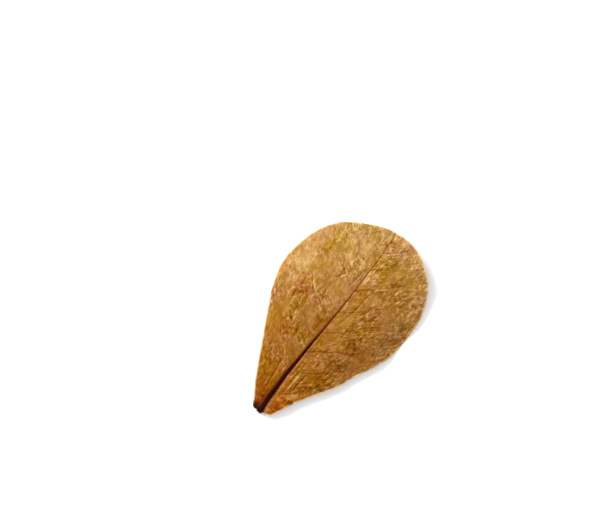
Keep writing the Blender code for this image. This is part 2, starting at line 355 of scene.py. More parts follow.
@dataclass
class LeafForm:
    """The curved sheet of the leaf, the same as the solid's, laid down on three points."""

    thickness: float = 0.4 * MM
    half_width: float = HALF_WIDTH_MM * MM
    arch_height: float = 9.0 * MM
    tip_lift: float = 3.0 * MM
    tip_lift_start: float = 0.8
    gutter_slope: float = 0.34
    gutter_width: float = 9.0 * MM
    gutter_rounding: float = 1.3
    gutter_fade: float = 0.6
    droop: float = 9.0 * MM
    wave_height: float = 1.8 * MM
    wave_onset: float = 1.5
    left_waves: Sequence[Wave] = (Wave(5.1, 0.4, 1.0), Wave(9.3, 0.0, 0.5))
    right_waves: Sequence[Wave] = (Wave(4.3, 2.2, 1.0), Wave(8.6, 1.0, 0.5))
    puff_height: float = 0.35 * MM
    puff_start: float = 0.15
    puff_fade: float = 0.7
    laying_rounds: int = 8
    midrib: Midrib = field(default_factory=Midrib)
    halves: dict[Side, HalfBlade] = field(init=False)
    lay: Array = field(init=False)

    def __post_init__(self) -> None:
        """Draw both halves, then lay the leaf down."""
        left_margin = [
            (2.0, -2.9), (2.4, -2.0), (4.7, -2.4), (6.8, -1.6), (8.4, 0.6), (11.4, 5.6),
            (15.9, 12.3), (25.6, 30.5), (41.3, 61.3), (53.4, 86.7), (58.4, 105.0),
            (57.2, 121.5), (53.0, 139.4), (40.2, 159.4), (20.0, 172.4), (6.0, 178.2),
        ]
        right_margin = [
            (2.0, -2.9), (2.3, -1.6), (4.4, -1.5), (7.6, 0.2), (9.6, 2.2), (10.9, 4.6),
            (13.4, 9.1), (20.6, 24.0), (29.8, 38.3), (38.0, 51.2), (44.0, 65.5),
            (52.6, 83.2), (58.4, 99.0), (60.0, 118.0), (57.8, 139.3), (46.6, 161.4),
            (25.0, 177.2), (7.0, 180.2),
        ]
        left_veins = [11, 29, 48, 68, 89, 110, 131, 151, 166]
        right_veins = [15, 36, 58, 79, 100, 122, 143, 160]
        left = HalfBlade(Side.LEFT, left_margin, left_veins)
        right = HalfBlade(Side.RIGHT, right_margin, right_veins)
        self.halves = {Side.LEFT: left, Side.RIGHT: right}
        first = (left.feet[0] + right.feet[0]) / 2
        last = (left.feet[-1] + right.feet[-1]) / 2
        for half in self.halves.values():
            half.tie_feet(first, last)
        self.lay = np.zeros(3)
        self.lay_down()

    def place(self, side: Side, foot: Array, share: Array) -> tuple[Array, Array]:
        """Find points of the plan from their rows.

        Args:
            side: Which half.
            foot: Where each point's row starts on the midrib.
            share: How far along the row it lies, from midrib to margin.

        Returns:
            The points' x and y.
        """
        half = self.halves[side]
        across = np.interp(foot, half.feet, half.across)
        along = np.interp(foot, half.feet, half.along)
        y = foot + (along - foot) * share * (1 - half.bend + half.bend * share)
        x = side.value * across * share + self.midrib.offset(y) * (1 - share) ** 2
        return x, y

    def sheet(self, x: Array, y: Array) -> Array:
        """Work out the curved sheet, without the skin's small relief.

        Args:
            x: Plan positions.
            y: Plan positions.

        Returns:
            The sheet's heights.
        """
        share = np.clip(y / self.midrib.length, 0, 1)
        away = np.abs(x - self.midrib.offset(y))
        reach = away / self.half_width
        tip_lift = self.tip_lift * smoothstep(self.tip_lift_start, 1, share)
        arch = self.arch_height * (1 - (1 - share) ** 2) + tip_lift
        slope = self.gutter_slope * (1 - self.gutter_fade * share)
        flank = 1 - np.exp(-((away / self.gutter_width) ** self.gutter_rounding))
        droop = self.droop * (1 + np.sin(np.pi * share)) / 2 * reach**2
        left, right = (
            sum(wave.at(share) for wave in waves) for waves in (self.left_waves, self.right_waves)
        )
        wave = self.wave_height * reach**self.wave_onset * np.where(x < 0, left, right)
        return arch + slope * self.gutter_width * flank - droop + wave

    def ground(self, x: Array, y: Array) -> Array:
        """The height of the plane that the leaf's lowest points lie in, before it is laid."""
        return self.lay[0] + self.lay[1] * x + self.lay[2] * y

    def laid_sheet(self, x: Array, y: Array) -> Array:
        """The sheet's height above the surface that the leaf rests on."""
        return self.sheet(x, y) - self.ground(x, y)

    def puff(self, side: Side, foot: Array, share: Array) -> Array:
        """Swell the blade up between two side veins.

        Args:
            side: Which half.
            foot: Where each point's row starts on the midrib.
            share: How far along the row it lies, from midrib to margin.

        Returns:
            The height to add at each point.
        """
        between = 0.5 - 0.5 * np.cos(2 * np.pi * self.halves[side].order(foot))
        off_ends = smoothstep(0, self.puff_start, share) * smoothstep(1, self.puff_fade, share)
        return self.puff_height * between * off_ends

    def lay_down(self) -> None:
        """Tilt the leaf a little so that it rests on its stalk and on both margins."""
        rib = self.midrib
        stalk = np.array([rib.offset(np.array(0.0)), -rib.stub_length])
        stalk_z = self.sheet(*stalk) - (1 + rib.sink) * rib.base_radius
        edges = []
        for side, half in self.halves.items():
            feet = half.feet[half.along > rib.length / 3]
            x, y = self.place(side, feet, np.ones_like(feet))
            edges.append((x, y, self.sheet(x, y) - self.thickness))
        for _ in range(self.laying_rounds):
            contacts = [(*stalk, stalk_z)]
            for x, y, z in edges:
                lowest = np.argmin(z - self.ground(x, y))
                contacts.append((x[lowest], y[lowest], z[lowest]))
            found = np.array(contacts)
            plane = np.column_stack([np.ones(3), found[:, 0], found[:, 1]])
            self.lay = np.linalg.solve(plane, found[:, 2])

    def plan_box(self) -> tuple[Array, Array]:
        """Measure the leaf's outline.

        Returns:
            Its lowest x and y, and its highest.
        """
        corners = []
        for side, half in self.halves.items():
            corners.append(np.stack(self.place(side, half.feet, np.ones_like(half.feet)), axis=1))
        outline = np.vstack(corners)
        return outline.min(axis=0), outline.max(axis=0)


@dataclass
class SideVeins:
    """The side veins with their forks and loops, as lines over the plan."""

    form: LeafForm
    foot_radius: float = 0.60 * MM
    end_radius: float = 0.20 * MM
    fork_radii: tuple[float, float] = (0.32 * MM, 0.15 * MM)
    minor_radii: tuple[float, float] = (0.26 * MM, 0.10 * MM)
    reach: float = 0.965
    lean: float = 0.35
    curl: float = 0.6
    tip_weakening: float = 0.4
    fork_start: float = 0.62
    fork_reach: float = 0.93
    fork_turn: float = 0.42
    minor_reach: float = 0.5
    last_gap: float = 0.6
    points: list[tuple[float, float]] = field(default_factory=list)
    radii: list[float] = field(default_factory=list)

    def draw(self) -> None:
        """Draw every side vein, with its fork and the lesser vein that follows it."""
        for side, half in self.form.halves.items():
            feet = np.array(half.vein_feet_mm) * MM
            beyond = feet[-1] + self.last_gap * (feet[-1] - feet[-2])
            for number, (foot, gap) in enumerate(zip(feet, np.diff(feet, append=beyond))):
                thick = self.foot_radius * (1 - self.tip_weakening * number / len(feet))
                self.add_vein(side, foot, gap, thick)
                self.add_fork(side, foot, gap, number)
                self.add_minor(side, foot, gap, number)

    def add_vein(self, side: Side, foot: float, gap: float, thick: float) -> None:
        """Add a side vein, which curls along the margin to meet the next one.

        Args:
            side: Which half it is in.
            foot: Where it leaves the midrib.
            gap: How far the next one leaves it.
            thick: Its radius at the foot.
        """
        share = np.linspace(0, self.reach, 300)
        curl = self.curl * gap * smoothstep(0.72, 1.02, share) ** 1.6
        curl += self.lean * gap * share
        self.add_line(side, foot + curl, share, (thick, self.end_radius))

    def add_fork(self, side: Side, foot: float, gap: float, number: int) -> None:
        """Add the fork that turns back toward the stalk near the margin.

        Args:
            side: Which half it is in.
            foot: Where its side vein leaves the midrib.
            gap: How far the next one leaves it.
            number: Which side vein it is, from the stalk.
        """
        start = self.fork_start + 0.05 * math.sin(3.1 * number + side.value)
        share = np.linspace(start, self.fork_reach, 160)
        away = (share - start) / (self.fork_reach - start)
        fork = gap * (self.lean * share - self.fork_turn * away**1.2 + 0.1 * away**4)
        self.add_line(side, foot + fork, share, self.fork_radii)

    def add_minor(self, side: Side, foot: float, gap: float, number: int) -> None:
        """Add the lesser vein between two side veins, which ends halfway out.

        Args:
            side: Which half it is in.
            foot: Where the side vein before it leaves the midrib.
            gap: How far the next one leaves it.
            number: Which side vein comes before it, from the stalk.
        """
        share = np.linspace(0, self.minor_reach + 0.08 * math.cos(2.3 * number), 160)
        minor = foot + gap * (0.52 + 0.12 * share / share[-1])
        self.add_line(side, minor, share, self.minor_radii)

    def add_line(self, side: Side, feet: Array, share: Array,
                 radii: tuple[float, float]) -> None:
        """Add the points of one vein.

        Args:
            side: Which half it is in.
            feet: The row of each of its points.
            share: How far along its row each point lies.
            radii: Its radius at the start and at the end.
        """
        inside = feet < self.form.halves[side].feet[-1]
        x, y = self.form.place(side, feet[inside], share[inside])
        self.points.extend(zip(x, y))
        self.radii.extend(np.linspace(*radii, len(x)))

    def nearest(self, x: Array, y: Array) -> tuple[Array, Array]:
        """Find the nearest vein of each point.

        Args:
            x: Plan positions.
            y: Plan positions.

        Returns:
            The distance to the nearest vein, and that vein's radius there.
        """
        nearest, away = find_nearest(self.points, x, y)
        return away, np.array(self.radii)[nearest]


@dataclass
class Creases:
    """Short sharp folds that the blade took as it dried, as lines over the plan.

    The longest ones are listed, as (x, y) in millimetres. The many small ones are
    strewn by a seeded rule, and lie mostly along the side veins or the midrib.
    """

    form: LeafForm
    long_depth: float = 0.55 * MM
    small_depth: float = 0.34 * MM
    small_count: int = 300
    small_lengths_mm: tuple[float, float] = (3.0, 11.0)
    rib_turn: float = 0.22
    heading_spread: float = 0.30
    bend_spread: float = 0.02
    width: float = 0.75 * MM
    step_mm: float = 0.3
    points: list[tuple[float, float]] = field(default_factory=list)
    normals: list[tuple[float, float]] = field(default_factory=list)
    depths: list[float] = field(default_factory=list)

    def draw(self) -> None:
        """Draw the long creases, then strew the small ones."""
        for line in (
            [(6.9, 87.6), (9.8, 99.9), (12.1, 112.9), (15.0, 129.3), (15.6, 138.0)],
            [(17.2, 107.5), (20.0, 112.0), (22.8, 119.0)],
            [(23.2, 105.0), (27.0, 111.0), (30.5, 119.7)],
            [(16.1, 96.8), (20.0, 104.5), (23.8, 111.1)],
            [(-3.8, 121.0), (-3.0, 128.0), (-1.8, 138.6)],
            [(-16.7, 121.1), (-13.8, 127.0), (-10.9, 131.6)],
            [(-14.6, 101.0), (-15.7, 106.0), (-17.0, 113.0)],
            [(-17.8, 97.4), (-26.0, 105.0), (-33.0, 112.5), (-38.3, 120.5)],
            [(-14.0, 60.0), (-15.5, 68.0), (-20.0, 79.0)],
            [(24.0, 76.0), (30.5, 79.0), (37.0, 86.0)],
            [(31.0, 128.0), (36.0, 137.0), (38.5, 147.0)],
            [(5.0, 12.0), (5.6, 30.0), (6.4, 46.0), (7.2, 60.0)],
            [(9.4, 20.0), (11.4, 36.0), (13.4, 50.0)],
            [(-7.6, 16.0), (-9.4, 30.0), (-11.6, 44.0)],
            [(-21.0, 66.0), (-26.0, 78.0), (-29.0, 92.0)],
        ):
            x, y = smooth_line(line, samples=120)
            self.add_line(x, y, self.long_depth)
        random = np.random.default_rng(29)
        for _ in range(self.small_count):
            self.add_small(random)

    def add_small(self, random: np.random.Generator) -> None:
        """Strew one small crease somewhere on the blade.

        Args:
            random: The seeded source of its place, length and heading.
        """
        side = random.choice([-1, 1])
        half = self.form.halves[Side(side)]
        foot = random.uniform(0.0, 0.97) * half.feet[-1]
        share = np.array(random.uniform(0.08, 0.93) ** 0.8)
        x, y = self.form.place(Side(side), np.array(foot), share)
        ahead_x, ahead_y = self.form.place(Side(side), np.array(foot), share + 0.02)
        vein_way = math.atan2(ahead_y - y, ahead_x - x)
        rib_way = math.pi / 2 - self.rib_turn * side
        heading = vein_way if random.random() < 0.5 else rib_way
        heading += random.normal(0, self.heading_spread)
        length = random.uniform(*self.small_lengths_mm)
        along = np.arange(0, length, self.step_mm) - length / 2
        way = heading + random.normal(0, self.bend_spread) * along
        step_x = np.cumsum(np.cos(way)) * self.step_mm
        step_y = np.cumsum(np.sin(way)) * self.step_mm
        line_x = x / MM + step_x - step_x.mean()
        line_y = y / MM + step_y - step_y.mean()
        self.add_line(line_x, line_y, self.small_depth * random.uniform(0.4, 1.0))

    def add_line(self, x_mm: Array, y_mm: Array, depth: float) -> None:
        """Add one crease that fades out at both ends.

        Args:
            x_mm: Its points.
            y_mm: Its points.
            depth: How deep it is halfway.
        """
        way = np.stack([np.gradient(x_mm), np.gradient(y_mm)], axis=1)
        way /= np.linalg.norm(way, axis=1)[:, None]
        fade = np.sin(np.pi * (np.arange(len(x_mm)) + 0.5) / len(x_mm)) ** 0.7
        self.points.extend(zip(x_mm * MM, y_mm * MM))
        self.normals.extend(zip(way[:, 1], -way[:, 0]))
        self.depths.extend(depth * fade)

    def height(self, x: Array, y: Array) -> Array:
        """The fold's height at each point: a sharp groove with a soft lip on one side.

        Args:
            x: Plan positions.
            y: Plan positions.

        Returns:
            The height to add.
        """
        nearest, away = find_nearest(self.points, x, y)
        gap = np.stack([x, y], axis=-1) - np.array(self.points)[nearest]
        beside = (gap * np.array(self.normals)[nearest]).sum(axis=-1)
        groove = -np.exp(-((away / self.width) ** 2))
        lip = 0.75 * np.exp(-(((beside - 1.6 * self.width) / (1.5 * self.width)) ** 2))
        lip *= np.exp(-((away / (3.5 * self.width)) ** 4))
        return np.array(self.depths)[nearest] * (groove + lip)


@dataclass(frozen=True)
class Patch:
    """A patch where the skin dried to another colour, or where light or shade is painted, in
    millimetres.

    Attributes:
        x: Its middle, to the right of the leaf's middle line.
        y: Its middle, along the leaf.
        reach_x: How far it spreads across.
        reach_y: How far it spreads along.
        red: How much redder it is from tannin, or duller if negative.
        tone: How much paler it is, or darker if negative.
    """

    x: float
    y: float
    reach_x: float
    reach_y: float
    red: float
    tone: float


PATCHES = (
    Patch(11.1, 119.3, 2.6, 4.0, 1.3, 0.04), Patch(-4.5, 85.5, 4.0, 5.5, 1.4, -0.15),
    Patch(-33.4, 101.5, 5.0, 8.0, 0.6, -0.13), Patch(-27.0, 96.0, 3.5, 5.0, 0.4, -0.09),
    Patch(-33.9, 135.7, 4.5, 7.0, 0.8, -0.02), Patch(-54.5, 105.4, 3.0, 4.0, 0.7, 0.09),
    Patch(-13.6, 52.7, 5.0, 8.0, 0.6, 0.0), Patch(-12.1, 33.5, 5.0, 11.0, 0.6, 0.0),
    Patch(-7.9, 12.0, 5.0, 14.0, 1.1, -0.07), Patch(-7.0, 0.5, 3.0, 2.5, 0.3, -0.22),
    Patch(7.4, 9.0, 5.0, 8.0, 0.9, 0.0), Patch(6.4, -0.5, 4.0, 1.6, 0.6, -0.2),
    Patch(21.6, 132.6, 4.0, 4.0, -0.6, -0.13), Patch(24.4, 86.8, 6.0, 4.5, 0.1, -0.14),
    Patch(26.2, 66.9, 6.0, 5.0, 0.0, -0.12), Patch(25.4, 143.4, 4.0, 5.0, -0.5, -0.09),
    Patch(38.0, 82.7, 6.0, 6.0, 0.3, -0.09), Patch(20.1, 50.3, 7.0, 4.0, 0.8, -0.03),
    Patch(34.8, 108.0, 7.0, 7.0, 0.4, -0.03), Patch(-3.5, 172.0, 4.5, 3.5, 0.0, 0.12),
    Patch(4.0, 136.5, 2.0, 3.0, 0.0, 0.17), Patch(-45.5, 117.5, 8.0, 14.0, -0.7, 0.09),
    Patch(-31.1, 111.7, 1.8, 6.5, 0.2, 0.15), Patch(-21.4, 150.5, 10.0, 8.0, 0.0, 0.06),
    Patch(21.9, 123.4, 3.0, 3.0, -0.4, 0.12), Patch(10.3, 77.4, 4.0, 9.0, 0.0, 0.07),
    Patch(50.0, 112.0, 9.0, 30.0, -0.5, 0.0), Patch(-38.0, 70.0, 10.0, 22.0, 0.4, 0.0),
    Patch(9.6, 2.4, 1.6, 6.0, 0.2, -0.14), Patch(-9.0, 150.0, 9.0, 24.0, 0.0, 0.07),
    Patch(8.0, 70.0, 5.0, 13.0, 0.2, -0.07), Patch(-10.0, 36.0, 6.0, 12.0, 0.0, 0.06),
    # Patch(-3.4, 63.0) is painted light on the lit left side of the midrib's gutter, and
    # Patch(2.8, 62.0) is painted shade on its right side.
    Patch(-3.5, 100.0, 5.0, 6.0, 0.8, 0.08), Patch(-3.4, 63.0, 1.8, 6.0, 0.2, 0.12),
    Patch(2.8, 62.0, 1.8, 5.0, 0.2, -0.12), Patch(-6.0, 73.5, 2.5, 3.5, 0.9, -0.08),
    Patch(28.0, 166.0, 18.0, 9.0, -0.5, 0.0), Patch(-28.0, 160.0, 14.0, 8.0, -0.2, 0.0),
    Patch(-9.0, 112.0, 7.0, 14.0, 0.7, 0.03), Patch(-38.0, 142.0, 9.0, 8.0, 0.1, 0.03),
    Patch(-7.0, 30.0, 3.5, 22.0, 0.4, 0.07), Patch(8.0, 34.0, 4.0, 18.0, 0.0, 0.05),
)


@dataclass
class Plan:
    """The leaf's net in plan: one entry for each point of the skin, row by row."""

    x: Array
    y: Array
    foot: Array
    run: Array
    share: Array
    side: Array
    rib: Array
    edge: Array
    vein: Array
    vein_radius: Array
    cell: Array
    crease: Array
    rough: Array


@dataclass
class LadderCells:
    """The cells between the ladder veins, which cross from one side vein to the next."""

    width_mm: float = 4.4
    length_mm: float = 7.5
    height: float = 0.26 * MM
    edge_share: float = 0.42
    bend_mm: float = 1.6

    def share(self, run_mm: Array, foot_mm: Array) -> Array:
        """How far each point is from a ladder vein: 0 on the vein, 1 well inside a cell.

        Args:
            run_mm: Positions along the side veins, signed by half.
            foot_mm: Positions along the midrib.

        Returns:
            The shares, in the shape of run_mm.
        """
        bent_x = run_mm + self.bend_mm * BUMPS["cell_x"].at(run_mm, foot_mm)
        bent_y = foot_mm + self.bend_mm * BUMPS["cell_y"].at(run_mm, foot_mm)
        xs = bent_x.ravel() / self.width_mm
        ys = bent_y.ravel() / self.length_mm
        gaps = []
        for x, y in zip(xs, ys):
            near, next_near = noise.voronoi((x, y, 5.5))[0][:2]
            gaps.append(next_near - near)
        gap = np.array(gaps).reshape(run_mm.shape)
        return smoothstep(0, self.edge_share, gap)


@dataclass
class LeafSkin:
    """The leaf's whole skin: upper face, lower face, rim and the broken end of the stalk."""

    form: LeafForm
    veins: SideVeins
    creases: Creases
    cells: LadderCells = field(default_factory=LadderCells)
    rows: int = 292
    columns_per_half: int = 80
    rib_columns: int = 10
    rib_span: float = 1.5
    vein_crowding: float = 1.6
    vein_crowding_width: float = 1.2 * MM
    rim_round: float = 0.35 * MM
    rim_share: float = 0.35
    groove_depth: float = 0.16 * MM
    groove_edge: float = 0.15 * MM
    vein_keel: float = 1.15
    crest_height: float = 0.42
    moat_depth: float = 0.18 * MM
    fillet_reach: float = 0.35
    fillet_depth: float = 0.45
    crinkle_height: float = 0.30 * MM
    wrinkle_height: float = 0.19 * MM
    buckle_height: float = 0.25 * MM
    furrow_height: float = 0.22 * MM
    margin_wander: float = 0.35 * MM
    body_wander: tuple[float, float] = (0.9 * MM, 1.3 * MM)
    tear_depth: float = 0.3 * MM
    origin: Vector = field(default_factory=Vector)

    def row_feet(self) -> Array:
        """Space the rows, closer together near the side veins and the stalk.

        Returns:
            The foot of each row.
        """
        left = self.form.halves[Side.LEFT]
        right = self.form.halves[Side.RIGHT]
        feet = np.linspace(left.feet[0], left.feet[-1], 6000)
        steps = [np.diff(feet)]
        for half in (left, right):
            x = np.interp(feet, half.feet, half.across)
            y = np.interp(feet, half.feet, half.along)
            steps.append(np.hypot(np.diff(x), np.diff(y)))
        middle = (feet[1:] + feet[:-1]) / 2
        crowd = np.ones_like(middle)
        for foot_mm in (*left.vein_feet_mm, *right.vein_feet_mm):
            near = (middle - foot_mm * MM) / self.vein_crowding_width
            crowd += self.vein_crowding * np.exp(-(near**2))
        cost = np.concatenate([[0], np.cumsum(np.max(steps, axis=0) * crowd)])
        return np.interp(np.linspace(0, cost[-1], self.rows), cost, feet)

    def half_plan(self, side: Side, feet: Array) -> dict[str, Array]:
        """Lay out one half of the net, from the midrib to the margin.

        Args:
            side: Which half.
            feet: The foot of each row.

        Returns:
            Arrays of rows by columns for each field of the plan but the veins.
        """
        half = self.form.halves[side]
        reach = half.reach(feet)[:, None]
        rib_edge = np.minimum(self.rib_span * self.form.midrib.radius(feet)[:, None], 0.7 * reach)
        inner = np.linspace(0, 1, self.rib_columns + 1)[None, :-1] * rib_edge
        outer_count = self.columns_per_half - self.rib_columns
        spread = np.linspace(0, 1, outer_count + 1)[None, :]
        spread = 0.7 * spread + 0.3 * smoothstep(0, 1, spread)
        away = np.hstack([inner, rib_edge + (reach - rib_edge) * spread])
        share = away / reach
        foot = np.broadcast_to(feet[:, None], share.shape)
        x, y = self.form.place(side, foot, share)
        run = np.hypot(away, y - foot)
        rib = x - self.form.midrib.offset(y)
        side_sign = np.full_like(share, side.value)
        return {"x": x, "y": y, "foot": foot, "run": run, "share": share,
                "side": side_sign, "rib": rib}

    def plan(self) -> Plan:
        """Lay out the whole net from margin to margin.

        Returns:
            The net, with its distances and the shares that the finishes need.
        """
        feet = self.row_feet()
        left = self.half_plan(Side.LEFT, feet)
        right = self.half_plan(Side.RIGHT, feet)
        joined = {name: np.hstack([left[name][:, :0:-1], right[name]]) for name in left}
        away, radius = self.veins.nearest(joined["x"], joined["y"])
        edge = self.edge_distance(joined["x"], joined["y"])
        cell = self.cells.share(joined["side"] * joined["run"] / MM, joined["foot"] / MM)
        crease = self.creases.height(joined["x"], joined["y"])
        zones = BUMPS["zone"].at(joined["x"] / MM, joined["y"] / MM)
        rough = 0.25 + 1.15 * smoothstep(-0.42, 0.42, zones + 0.17 * joined["side"])
        return Plan(**joined, edge=edge, vein=away, vein_radius=radius, cell=cell,
                    crease=crease, rough=rough)

    def edge_distance(self, x: Array, y: Array) -> Array:
        """Measure how far the net's points lie from the margin.

        Args:
            x: Plan positions, in rows and columns.
            y: Plan positions, in rows and columns.

        Returns:
            The distance of each point.
        """
        outline = np.concatenate([
            np.stack([x[:, 0], y[:, 0]], axis=1),
            np.stack([x[-1], y[-1]], axis=1),
            np.stack([x[::-1, -1], y[::-1, -1]], axis=1),
        ])
        closer = [
            start + (end - start) * share
            for start, end in zip(outline, outline[1:]) for share in (0, 0.25, 0.5, 0.75)
        ]
        return find_nearest(closer, x, y)[1]

    def relief(self, plan: Plan) -> Array:
        """The small relief that both faces share: buckles, crinkles and wrinkles.

        Args:
            plan: The net.

        Returns:
            The height to add at each point.
        """
        x_mm, y_mm = plan.x / MM, plan.y / MM
        run_mm, foot_mm = plan.side * plan.run / MM, plan.foot / MM
        off_rib = smoothstep(0.8, 2.2, np.abs(plan.rib) / self.form.midrib.crest(plan.y))
        off_vein = smoothstep(0.3 * MM, 2.5 * MM, plan.vein)
        swap = smoothstep(-0.25, 0.25, BUMPS["swap"].at(x_mm, y_mm) + 0.2 * plan.side)
        wrinkle = BUMPS["along_rib"].at(run_mm, foot_mm) * (1 - swap)
        wrinkle += BUMPS["along_vein"].at(run_mm, foot_mm) * swap
        wrinkle += 0.8 * (0.35 - np.abs(BUMPS["ridge"].at(run_mm, foot_mm)))
        height = self.crinkle_height * BUMPS["crinkle"].at(run_mm, foot_mm)
        height += self.wrinkle_height * wrinkle + self.cells.height * plan.cell * off_vein
        height *= plan.rough
        height += self.buckle_height * BUMPS["buckle"].at(x_mm, y_mm) + plan.crease
        rib_x_mm = x_mm - self.form.midrib.offset(plan.y) / MM
        furrows = self.furrow_height * BUMPS["furrow"].at(rib_x_mm, y_mm)
        return height * off_rib + furrows * (1 - off_rib)

    def faces(self, plan: Plan) -> tuple[Array, Array]:
        """Work out the heights of both faces.

        Args:
            plan: The net.

        Returns:
            The upper face's heights and the lower face's.
        """
        form, rib = self.form, self.form.midrib
        middle = form.laid_sheet(plan.x, plan.y)
        for side in Side:
            mine = plan.side == side.value
            middle += np.where(mine, form.puff(side, plan.foot, plan.share), 0)
        middle += self.relief(plan)
        profile = np.exp(-((plan.vein / (1.1 * plan.vein_radius + self.groove_edge)) ** 2))
        strength = plan.vein_radius / self.veins.foot_radius
        upper = middle - self.groove_depth * strength * profile
        lower = middle - form.thickness - self.vein_keel * plan.vein_radius * profile

        radius = rib.radius(plan.y)
        spine = form.laid_sheet(rib.offset(plan.y), plan.y)
        crest = rib.crest(plan.y)
        away = np.abs(plan.rib)
        arc = np.sqrt(np.clip(1 - (away / crest) ** 2, 0, 1))
        ridge_top = spine + self.crest_height * radius * arc
        on_crest = smoothstep(1.0, 0.8, away / crest)
        upper = upper + (np.maximum(ridge_top, upper) - upper) * on_crest
        moat = np.exp(-(((away / crest - 1.15) / 0.2) ** 2))
        upper -= self.moat_depth * moat * radius / rib.base_radius
        keel = spine - rib.sink * radius - np.sqrt(np.clip(radius**2 - away**2, 0, None))
        lower = np.where(away < radius, np.minimum(lower, keel), lower)
        fillet = np.exp(-np.clip(away - radius, 0, None) / (self.fillet_reach * radius))
        lower -= np.where(away >= radius, self.fillet_depth * radius * fillet, 0)

        inside = np.clip(plan.edge / self.rim_round, 0, 1)
        round_off = np.sqrt(np.clip(1 - (1 - inside) ** 2, 0, 1))
        waist = (upper + lower) / 2
        half_gap = (upper - lower) / 2 * (self.rim_share + (1 - self.rim_share) * round_off)
        return self.close_stalk(plan, waist + half_gap, waist - half_gap)

    def close_stalk(self, plan: Plan, upper: Array, lower: Array) -> tuple[Array, Array]:
        """Bring the two faces together round the stub of the stalk, where there is no blade.

        Args:
            plan: The net.
            upper: The upper face's heights.
            lower: The lower face's heights.

        Returns:
            Both faces' heights.
        """
        rib = self.form.midrib
        spine = self.form.laid_sheet(rib.offset(plan.y), plan.y)
        bare = smoothstep(-1.3 * MM, -2.1 * MM, plan.foot)
        equator = spine - rib.sink * rib.radius(plan.y)
        dome = np.sqrt(np.clip(1 - plan.share**2, 0.004, 1))
        top = equator + 0.95 * rib.radius(plan.y) * dome
        bottom = equator - rib.radius(plan.y) * dome
        return upper + (top - upper) * bare, lower + (bottom - lower) * bare

    def wander(self, plan: Plan) -> tuple[Array, Array]:
        """Let the points stray in plan, so that the margin and veins aren't ruled.

        Args:
            plan: The net.

        Returns:
            How far each point moves in x and in y.
        """
        x_mm, y_mm = plan.x / MM, plan.y / MM
        near_edge = smoothstep(14 * MM, 0, plan.edge)
        body = smoothstep(0, 0.12, plan.share) * smoothstep(0, 12 * MM, plan.edge)
        dx, dy = (
            self.margin_wander * near_edge * BUMPS[f"margin_{axis}"].at(x_mm, y_mm)
            + size * body * BUMPS[f"body_{axis}"].at(x_mm, y_mm)
            for axis, size in zip("xy", self.body_wander)
        )
        hold = smoothstep(0, 6 * MM, plan.y)
        torn = smoothstep(-1.6 * MM, -2.9 * MM, plan.foot)
        dy = dy * hold + self.tear_depth * torn * BUMPS["tear"].at(x_mm, y_mm)
        return dx * hold, dy

    def build(self, finishes: Sequence[bpy.types.Material]) -> bpy.types.Object:
        """Build and dress the skin.

        Args:
            finishes: The materials, in the order of Face.

        Returns:
            The leaf.
        """
        plan = self.plan()
        upper, lower = self.faces(plan)
        dx, dy = self.wander(plan)
        x, y = plan.x + dx, plan.y + dy
        low, high = self.form.plan_box()
        centre = (SOLID_BOX[0] + SOLID_BOX[1]) / 2
        self.origin = Vector((
            centre.x - (low[0] + high[0]) / 2,
            centre.y - (low[1] + high[1]) / 2,
            SOLID_BOX[0].z - min(upper.min(), lower.min()),
        ))
        top = np.stack([x, y, upper], axis=-1).reshape(-1, 3)
        bottom = np.stack([x, y, lower], axis=-1).reshape(-1, 3)
        points = np.vstack([top, bottom]) + np.array(self.origin)
        faces, slots = self.net(plan.x.shape)
        leaf = new_piece("dried_leaf", points.tolist(), faces.tolist(), finishes)
        leaf.data.polygons.foreach_set("material_index", slots)
        self.note_places(leaf.data, plan)
        leaf.data.shade_smooth()
        leaf.data.update()
        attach(leaf, "root")
        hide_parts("leaf")
        return leaf

    def net(self, shape: tuple[int, int]) -> tuple[Array, Array]:
        """Join the points of both faces into one closed skin.

        Args:
            shape: The net's rows and columns.

        Returns:
            The four corners of each face, and its material slot.
        """
        rows, columns = shape
        index = np.arange(rows * columns).reshape(shape)
        quads = np.stack([index[:-1, :-1], index[:-1, 1:], index[1:, 1:], index[1:, :-1]], axis=-1)
        quads = quads.reshape(-1, 4)
        under = quads[:, ::-1] + rows * columns
        loop = np.concatenate([
            index[0, :-1], index[:-1, -1], index[-1, :0:-1], index[:0:-1, 0],
        ])
        after = np.roll(loop, -1)
        rim = np.stack([loop, loop + rows * columns, after + rows * columns, after], axis=-1)
        slots = np.concatenate([
            np.full(len(quads), Face.UPPER.value),
            np.full(len(under), Face.LOWER.value),
            np.full(columns - 1, Face.BREAK.value),
            np.full(len(rim) - columns + 1, Face.RIM.value),
        ])
        return np.vstack([quads, under, rim]), slots

    def patches(self, plan: Plan) -> tuple[Array, Array]:
        """Add up what the patches do to each point.

        Args:
            plan: The net.

        Returns:
            How much redder each point is, and how much paler.
        """
        x_mm, y_mm = plan.x / MM, plan.y / MM
        ragged = 1.1 * BUMPS["patch"].at(x_mm, y_mm)
        red = np.zeros_like(x_mm)
        tone = np.zeros_like(x_mm)
        for patch in PATCHES:
            away = np.hypot((x_mm - patch.x) / patch.reach_x, (y_mm - patch.y) / patch.reach_y)
            share = smoothstep(1.8, 0.1, away + ragged)
            red += patch.red * share
            tone += patch.tone * share
        return red, tone

